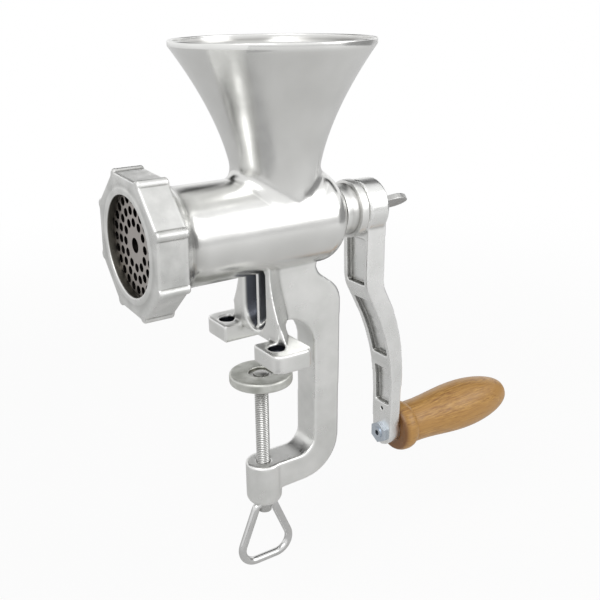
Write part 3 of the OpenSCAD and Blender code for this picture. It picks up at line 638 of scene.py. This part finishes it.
def draw_into_barrel(mesh):
    """Moves points nearer to the barrel's axis than DRAWN_FROM up to 1.6 mm towards that axis."""
    pts = points_of(mesh)
    from_axis = np.hypot(pts[:, 1], pts[:, 2] - AXIS_Z)
    pull = np.clip(DRAWN_FROM - from_axis, 0, 1) * 1.6
    pts[:, 1] -= pts[:, 1] / from_axis * pull
    pts[:, 2] -= (pts[:, 2] - AXIS_Z) / from_axis * pull
    mesh.vertices.foreach_set("co", (pts * MM).astype(np.float32).ravel())
    mesh.update()


def casting_mask(mesh):
    """1 in the leg's open channel but for its rib's front, and in the pads' holes, as painted shade; 0.5 on
    the outer edges, as a painted dark reflection.
    """
    px, py, pz = points_of(mesh).T
    nx, ny, nz = normals_of(mesh).T
    side = np.abs(py)
    deep = step_up(px, -2.2, 1.2) * (px < 18.5) * (side < 13.2) * (pz > 9.0) * (pz < 52)
    channel = deep * (ny * np.sign(py) < 0.35) * (nz > -0.3)
    rib_front = (side < 1.9) * (px < 0.6)
    pocket = (np.hypot(px - PAD_HOLE[0], side - PAD_HOLE[1]) < 5.1) * (pz > 3.0) * (pz < 10.4)
    edge_reflection = step_up(nx, 0.2, 0.2) * step_up(0.99 - nx, 0, 0.06) * step_up(np.abs(ny), 0.12, 0.2)
    return np.maximum.reduce([channel * ~rib_front, pocket, 0.5 * edge_reflection * (px > 12.5)])


tool_profile = [(-80, 0), (-80, CUT_R), (90, CUT_R), (90, 0)]
barrel_tool = new_object("bore_tool", skin("bore_tool", turned(tool_profile, 96)))
lower_mesh = softened("leg_and_clamp_frame", "body_casting", 0.85, 5,
                      [("INTERSECT", block((-40, -60, -120), (60, 60, 66))), ("DIFFERENCE", barrel_tool)])
draw_into_barrel(lower_mesh)
# Painted shade in the channel and pad holes, painted dark reflection on the frame's outer edges.
write_mask(lower_mesh, casting_mask(lower_mesh))
place(lower_mesh, "root", "body_casting", CAST)

# %% [markdown]
# The ring nut is an eight-sided casting with a rounded rib on each corner, soft edges and a raised
# ring round its opening. Its radius is worked out for every turn: the flat between two ribs, or
# the rib, whichever is further.

# %% Ring nut
NUT_CORNER_R = 40.0
RIB_TOP = 41.0
RIB_R = 2.6
NUT_BORE_R = 34.6
NUT_TURN = math.radians(3)


def nut_reach(turn):
    """max(flat, rib): apothem / cos(angle to the flat's middle), or the far side of the rib's circle."""
    corner = (turn - math.pi / 8) % (np.pi / 4)
    corner = np.minimum(corner, np.pi / 4 - corner)
    flat = NUT_CORNER_R * math.cos(math.pi / 8) / np.cos(np.pi / 8 - corner)
    rib_at = RIB_TOP - RIB_R
    off = rib_at * np.sin(corner)
    rib = rib_at * np.cos(corner) + np.sqrt(np.maximum(RIB_R ** 2 - off ** 2, 0))
    return np.maximum(flat, np.where(off < RIB_R, rib, 0))


def nut_points(steps=720):
    """Rows run along a closed profile: opening, raised ring and face, the outside by nut_reach, the bore."""
    turn = full_turn(steps)
    outer = nut_reach(turn)
    r = NUT_OPENING_R
    face = [(4.7, r), (0.9, r), (0.3, r + 0.25), (0.05, r + 0.8), (0, r + 1.4), (0, r + 2.6), (0.1, r + 3.4),
            (0.35, r + 4.2), (0.5, r + 5.2)]
    rows = [(NUT_FRONT + a, np.full(steps, radius)) for a, radius in face]
    for a in np.linspace(np.pi / 2, 0, 6):
        rows.append((NUT_FRONT + 0.5 + 1.3 * (1 - np.sin(a)), outer - 1.4 * (1 - np.cos(a))))
    for x in np.linspace(NUT_FRONT + 2.5, NUT_BACK - 2.5, 6):
        rows.append((x, outer))
    for a in np.linspace(0, np.pi / 2, 6):
        rows.append((NUT_BACK - 1.5 * (1 - np.sin(a)), outer - 1.5 * (1 - np.cos(a))))
    for x, radius in [(NUT_BACK, 36.0), (NUT_BACK - 0.5, NUT_BORE_R), (NUT_FRONT + 4.7, NUT_BORE_R)]:
        rows.append((x, np.full(steps, radius)))
    across, up = np.cos(turn + NUT_TURN), np.sin(turn + NUT_TURN)
    grid = [np.stack([np.full(steps, x), radius * across, AXIS_Z + radius * up], -1) for x, radius in rows]
    return np.array(grid)


nut_mesh = skin("ring_nut_cast", nut_points(), wrap_along=True, sharp=32)
nut_pts = points_of(nut_mesh)
nut_radius = np.hypot(nut_pts[:, 1], nut_pts[:, 2] - AXIS_Z)
# The inner wall of the opening is marked for painted shade.
write_mask(nut_mesh, (nut_radius < NUT_OPENING_R + 0.2) * (nut_pts[:, 0] > NUT_FRONT + 0.7))
place(nut_mesh, "nut", "ring_nut", TUMBLED)

# %% [markdown]
# The feed screw is a core with one flight wound round it. For each turn and place along the axis
# the radius is the larger of the core and the flight's rounded profile. The journal, the square
# tail and its hole for the thumb screw follow behind.

# %% Feed screw
SCREW_STEPS = 152
SCREW_FRONT = -61.4
SCREW_SHOULDER = 38.5
FLIGHT_R = 23.6
FLIGHT_LEAD = 29.0
FLIGHT_FROM = -60.4
FLIGHT_TO = 35.5
CORE_AT = (SCREW_FRONT, -30, 8, 30, FLIGHT_TO, SCREW_SHOULDER)
CORE_R = (12.5, 12.5, 10.5, 10.5, 15.8, 16.0)
STUD_HOLE_R = 5.1
JOURNAL_R = 9.5
TAIL_SIDE = 12.0
TAIL_LEN = 12.0


def feed_screw_points(along=230):
    """Radius = core + (crest - core) * bump(distance from the helix), a smooth step with a flat top."""
    x = np.linspace(SCREW_FRONT, SCREW_SHOULDER, along)[:, None]
    turn = full_turn(SCREW_STEPS)[None]
    ahead = ((turn / (2 * np.pi) - (x - FLIGHT_FROM) / FLIGHT_LEAD + 0.5) % 1) - 0.5
    share = np.clip((0.16 - np.abs(ahead)) / 0.10, 0, 1)
    bump = share * share * (3 - 2 * share)
    core = np.interp(x, CORE_AT, CORE_R)
    ends = step_up(x, SCREW_FRONT + 0.2, 1.2) * step_up(FLIGHT_TO - x, 0, 2.0)
    r = np.maximum(core, core + (FLIGHT_R - core) * bump * ends)
    return np.stack([np.repeat(x, SCREW_STEPS, 1), r * np.cos(turn), AXIS_Z + r * np.sin(turn)], -1)


def square_rows(places, side):
    """Rows of a square bar: radius = half side / max(|cos turn|, |sin turn|), corners eased by 1 mm."""
    turn = full_turn(SCREW_STEPS)
    c, s = np.cos(turn), np.sin(turn)
    r = np.minimum(side / 2 / np.maximum(np.abs(c), np.abs(s)), side / math.sqrt(2) - 1)
    return np.array([np.stack([np.full(SCREW_STEPS, x), r * c, AXIS_Z + r * s], -1) for x in places])


tail_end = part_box("feed_screw")[1][0] / MM
tail_start = tail_end - TAIL_LEN
nose = SCREW_FRONT - 1
front_cap = turned([(nose, STUD_HOLE_R), (nose, 12.1), (nose + 0.4, 12.5)], SCREW_STEPS)
journal = turned([(SCREW_SHOULDER, 15.9), (SCREW_SHOULDER, JOURNAL_R), (tail_start - 0.4, JOURNAL_R),
                  (tail_start, JOURNAL_R - 0.4)], SCREW_STEPS)
thumb_hole_r = THUMB_R + 0.1
holes = turned([(tail_end, thumb_hole_r), (tail_end - 11, thumb_hole_r), (tail_end - 11, 0), (-50, 0),
                (-50, STUD_HOLE_R)], SCREW_STEPS)
tail = square_rows((tail_start, tail_end), TAIL_SIDE)
screw_grid = np.concatenate([front_cap, feed_screw_points(), journal, tail, holes])
feed_mesh = skin("feed_screw_wound", screw_grid, wrap_along=True)
place(feed_mesh, "screw_line", "feed_screw", STEEL)

# %% [markdown]
# Small turned and cut pieces are already exact in the CAD model. They stay as its own nodes and
# only get their finish.

# %% Finishes of the pieces that stay as they are
PLAIN = {
    "neck_bush": (NYLON, "nylon"),
    "thrust_washer": (NYLON, "nylon"),
    "plate_key": (STEEL, "cut_steel"),
    "cutting_plate": (PLATE_STEEL, "cut_steel"),
    "knife": (DARK_STEEL, "cut_steel"),
    "knife_stud": (DARK_STEEL, "steel"),
    "grip_spindle": (ZINC, "zinc_steel"),
    "spindle_nut": (ZINC, "zinc_steel"),
    "grip_washer": (STEEL, "steel"),
    "disc_washer": (STEEL, "steel"),
}
for name, (finish, slot) in PLAIN.items():
    obj = nodes[name]
    obj.data.materials.clear()
    obj.data.materials.append(finish)
print("finished nodes:", len(PLAIN))

# %% [markdown]
# The crank arm is a casting too: a copy of its CAD solid, remeshed finely enough to keep the rims
# of its recesses, has the same soft edges as the frame. The walls of the recesses are painted dark as shade.

# %% Crank arm and thumb screw
def arm_recess(mesh):
    """1 on the recesses' walls, where shade is painted: points behind the front edge of their height whose
    normal turns from x.
    """
    px, py, pz = points_of(mesh).T
    wall = step_up(0.8 - np.abs(normals_of(mesh)[:, 0]), 0, 0.3)
    rows = np.round(pz).astype(int)
    rows -= rows.min()
    front = np.full(rows.max() + 1, np.inf)
    np.minimum.at(front, rows, px)
    depth = px - front[rows]
    inner_half = np.interp(pz, [-86, 60], [7.4, 11])
    inside = (np.abs(py) < inner_half) * (pz < 56) * (pz > -74)
    return step_up(depth, 0.5, 0.6) * step_up(4.6 - depth, 0, 0.6) * wall * inside


arm_mesh = softened("crank_arm_cast", "crank_arm", 0.6, 4)
# Painted shade on the walls of the recesses.
write_mask(arm_mesh, arm_recess(arm_mesh))
place(arm_mesh, "crank", "crank_arm", ARM_CAST)
place(softened("thumb_screw_cast", "thumb_screw", 0.3, 4), "thumb", "thumb_screw", STEEL)

# %% [markdown]
# The grip is a turned profile: bead, waist, long belly and rounded end with the recess for the
# spindle's head.

# %% Grip
GRIP_BORE_R = 4.08
HEAD_RECESS_R = 6.4
BEAD_R = 14.2
WAIST_R = 14.5
BELLY_R = 17.5
END_R = 6.8
WAIST_AT = 17.0
BELLY_AT = 62.0


def grip_profile(start, length):
    """Along the grip: bead arc, cosine swell from waist to belly, then an elliptic nose and the bore."""
    bead = [(6 - 6 * math.cos(a), BEAD_R + 3 * math.sin(a)) for a in np.linspace(0, math.pi, 17)]
    swell = [(WAIST_AT + (BELLY_AT - WAIST_AT) * t,
              WAIST_R + (BELLY_R - WAIST_R) * (1 - math.cos(math.pi * t)) / 2)
             for t in np.linspace(0, 1, 24)]
    nose = [(BELLY_AT + (length - BELLY_AT) * math.sin(a),
             END_R + (BELLY_R - END_R) * max(math.cos(a), 0) ** 1.3)
            for a in np.linspace(0.06, math.pi / 2, 30)]
    face = [(0, GRIP_BORE_R), (0, BEAD_R - 0.4)]
    recess = [(length - 0.3, HEAD_RECESS_R), (length - 9.4, HEAD_RECESS_R), (length - 9.4, GRIP_BORE_R)]
    return [(start + a, r) for a, r in face + bead + swell + nose + recess]


grip_low, grip_high = (np.array(v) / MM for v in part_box("grip"))
grip_rows = grip_profile(grip_low[0], grip_high[0] - grip_low[0])
grip_grid = turned(grip_rows, 128, (0, 0, (grip_low[2] + grip_high[2]) / 2))
place(skin("grip_turned", grip_grid, wrap_along=True, sharp=45), "grip", "grip", WOOD)

# %% [markdown]
# Pressure disc, clamp screw and loop handle. The screw has a real thread with two starts: its
# radius falls and rises twice per 2.5 mm along the axis.

# %% Clamp screw, disc and loop
DISC_R = 19.2
DISC_BORE_R = 3.28
DISC_POCKET_R = 7.4
DISC_POCKET_FLOOR = -18.8
TIP_R = 3.2
THREAD_DEPTH = 0.4


def clamp_screw_points(steps=48):
    """Radius(z, turn) = CLAMP_SCREW_R - THREAD_DEPTH * triangle wave of 2 (z / CLAMP_PITCH - turn / 360)."""
    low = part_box("clamp_screw")[0][2] / MM
    z = np.linspace(low + 0.2, DISC_UNDER - 1.3, 460)[:, None]
    turn = full_turn(steps)[None]
    phase = 2 * (z / CLAMP_PITCH - turn / (2 * np.pi))
    wave = np.clip(np.abs(2 * (phase % 1) - 1) * 1.3 - 0.1, 0, 1)
    fade = step_up(z, low + 12, 2) * step_up(-26 - z, 0, 2)
    r = CLAMP_SCREW_R - THREAD_DEPTH * wave * fade
    body = np.stack([r * np.cos(turn), r * np.sin(turn), np.repeat(z, steps, 1)], -1)
    foot = turned([(low, 0), (low, CLAMP_SCREW_R - 0.7)], steps, (0, 0, 0), "z")
    peened = [(-17.7, 4.8), (-16.9, 4.6), (-16.4, TIP_R), (-16.4, 0)]
    tip = [(DISC_UNDER - 0.2, CLAMP_SCREW_R - 0.8), (DISC_UNDER - 0.2, TIP_R), (-17.7, TIP_R)] + peened
    return np.concatenate([foot, body, turned(tip, steps, (0, 0, 0), "z")])


disc_profile = rounded([(DISC_UNDER, DISC_BORE_R), (DISC_UNDER, DISC_R), (DISC_TOP, DISC_R),
                        (DISC_TOP, DISC_POCKET_R), (DISC_POCKET_FLOOR, DISC_POCKET_R),
                        (DISC_POCKET_FLOOR, DISC_BORE_R)], 1.9, 7, closed=True)
disc_mesh = skin("pressure_disc_cast", turned(disc_profile, 160, (0, 0, 0), "z"), wrap_along=True)
disc_pts = points_of(disc_mesh)
disc_radius = np.hypot(disc_pts[:, 0], disc_pts[:, 1])
# The pocket in the disc is marked for painted shade.
write_mask(disc_mesh, (disc_radius < DISC_POCKET_R + 0.2) * (disc_pts[:, 2] < DISC_TOP - 0.6))
place(disc_mesh, "disc", "pressure_disc", DISC_CAST)
screw_mesh = skin("clamp_screw_threaded", clamp_screw_points(), sharp=28)
place(screw_mesh, "clamp", "clamp_screw", STEEL)
place(softened("loop_wire", "loop_handle", 0.45, 3), "clamp", "loop_handle", WIRE)

# %% [markdown]
# The camera stands where the photographer stood. Its place and turn were found from the object's
# own points in the photograph.

# %% Camera
yaw, pitch, roll = math.radians(33.47), math.radians(19.63), math.radians(-0.74)
stand = (-0.23835, -0.40428, 0.19639)
ahead = Vector((math.sin(yaw) * math.cos(pitch), math.cos(yaw) * math.cos(pitch), -math.sin(pitch)))
right = Vector((math.cos(yaw), -math.sin(yaw), 0))
up = right.cross(ahead)
rolled_right = math.cos(roll) * right + math.sin(roll) * up
rolled_up = -math.sin(roll) * right + math.cos(roll) * up
facing = Matrix((rolled_right, rolled_up, -ahead)).transposed().to_4x4()
camera_data = bpy.data.cameras.new("camera")
camera_data.lens, camera_data.sensor_width = 51.17, 36
camera_data.clip_start, camera_data.clip_end = 0.01, 50
camera = new_object("camera", camera_data)
camera.matrix_world = Matrix.Translation(stand) @ facing
bpy.context.scene.camera = camera
print("camera lens:", round(camera_data.lens, 2), "mm")

# %% [markdown]
# Plain studio: a pale floor, a white surround, two soft lamps, and cards that only shiny surfaces
# see. Polished metal shows its surroundings, so the darker cards give the bands that make it read
# as metal. The floor lies below the lowest place that the loop handle reaches.

# %% Studio
SQUARE = ((-1, -1), (1, -1), (1, 1), (-1, 1))


def sheet(name, corners, mat):
    """A flat four-cornered sheet in metres that is not part of the object."""
    mesh = bpy.data.meshes.new(name)
    mesh.from_pydata(corners, [], [(0, 1, 2, 3)])
    mesh.materials.append(mat)
    obj = new_object(name, mesh)
    return obj


def card(name, centre, normal, width, height, tone):
    """A sheet of one even tone that faces along its normal and that only shiny surfaces see."""
    n = Vector(normal).normalized()
    side = n.cross(Vector((0, 0, 1)))
    side = side.normalized() if side.length > 1e-3 else Vector((1, 0, 0))
    across, upward = side * (width / 2), side.cross(n) * (height / 2)
    corners = [tuple(Vector(centre) + a * across + b * upward) for a, b in SQUARE]
    mat, _, shader = new_material(name)
    shader.inputs["Base Color"].default_value = (0, 0, 0, 1)
    shader.inputs["Specular IOR Level"].default_value = 0
    shader.inputs["Emission Color"].default_value = (tone, tone, tone, 1)
    shader.inputs["Emission Strength"].default_value = 1
    obj = sheet(name, corners, mat)
    obj.visible_camera = obj.visible_diffuse = obj.visible_shadow = obj.visible_transmission = False


def floor_finish(near=0.45, far=1.3, share=0.12):
    """Pale floor: share of it takes light and shadow nearer than near metres, none past far, where it is
    plain white; shiny surfaces see it greyer near the object."""
    mat, tree, shader = new_material("floor")
    link = tree.links.new
    path = tree.nodes.new("ShaderNodeLightPath").outputs
    shader.inputs["Roughness"].default_value = 0.9
    shader.inputs["Specular IOR Level"].default_value = 0.1
    distance = tree.nodes.new("ShaderNodeVectorMath")
    distance.operation = "LENGTH"
    link(tree.nodes.new("ShaderNodeTexCoord").outputs["Object"], distance.inputs[0])
    away = distance.outputs["Value"]
    mirrored = mixed(tree, map_range(tree, away, 0, 1.8), (0.61, 0.61, 0.605), (1, 1, 1))
    link(mixed(tree, path["Is Glossy Ray"], (0.93, 0.93, 0.925), mirrored), shader.inputs["Base Color"])
    fade = map_range(tree, away, near, far, 1 - share, 1)
    fade.node.interpolation_type = "SMOOTHSTEP"
    blend = tree.nodes.new("ShaderNodeMixShader")
    link(calc(tree, "MULTIPLY", fade, path["Is Camera Ray"]), blend.inputs["Fac"])
    link(shader.outputs[0], blend.inputs[1])
    link(tree.nodes.new("ShaderNodeEmission").outputs[0], blend.inputs[2])
    link(blend.outputs[0], tree.nodes["Material Output"].inputs["Surface"])
    return mat


def white_surround(diffuse):
    """A world that cameras, mirrors and glass see as plain white and that lights dull surfaces by diffuse."""
    world = bpy.data.worlds.new("surround")
    bpy.context.scene.world = world
    world.use_nodes = True
    tree = world.node_tree
    back = tree.nodes["Background"].inputs
    back["Color"].default_value = (1, 1, 1, 1)
    path = tree.nodes.new("ShaderNodeLightPath").outputs
    seen = calc(tree, "MAXIMUM", path["Is Camera Ray"], path["Is Glossy Ray"])
    seen = calc(tree, "MAXIMUM", seen, path["Is Transmission Ray"])
    tree.links.new(map_range(tree, seen, 0, 1, diffuse, 1), back["Strength"])


def lamp(name, stand_at, size, watts):
    """A soft square lamp that looks at the middle of the object."""
    data = bpy.data.lights.new(name, "AREA")
    data.shape, data.size, data.energy = "SQUARE", size, watts
    towards = Vector((0, 0, 0.05)) - Vector(stand_at)
    facing = towards.to_track_quat("-Z", "Y").to_matrix().to_4x4()
    new_object(name, data).matrix_world = Matrix.Translation(stand_at) @ facing


foot_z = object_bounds()[0][2]
low_card_z = foot_z + 3.5 * MM
floor_z = foot_z - (DISC_TRAVEL + 2) * MM
floor_half = 12
sheet("floor", [(a * floor_half, b * floor_half, floor_z) for a, b in SQUARE], floor_finish())
card("card_above", (0.4, 0.75, 0.92), (-0.3, -0.6, -0.8), 3.4, 0.55, 0.01)
card("card_behind", (0.0, 1.7, 1.35), (0, -0.6, -0.8), 5.0, 1.1, 0.5)
card("card_floor", (0.27, 0.29, low_card_z), (0, 0, 1), 0.26, 0.26, 0.10)
card("card_left", (-0.26, -0.16, low_card_z), (0, 0, 1), 0.22, 0.30, 0.42)
card("card_right", (1.1, -0.25, -0.05), (-1, 0.25, 0), 1.2, 0.7, 0.28)
white_surround(0.62)
lamp("key", (-0.9, -0.7, 1.1), 0.9, 6.5)
lamp("fill", (0.9, -0.9, 0.6), 0.9, 4)
bpy.context.scene.view_settings.view_transform = "Standard"
print("studio: floor at", round(floor_z, 4), "m, five cards, two lamps")
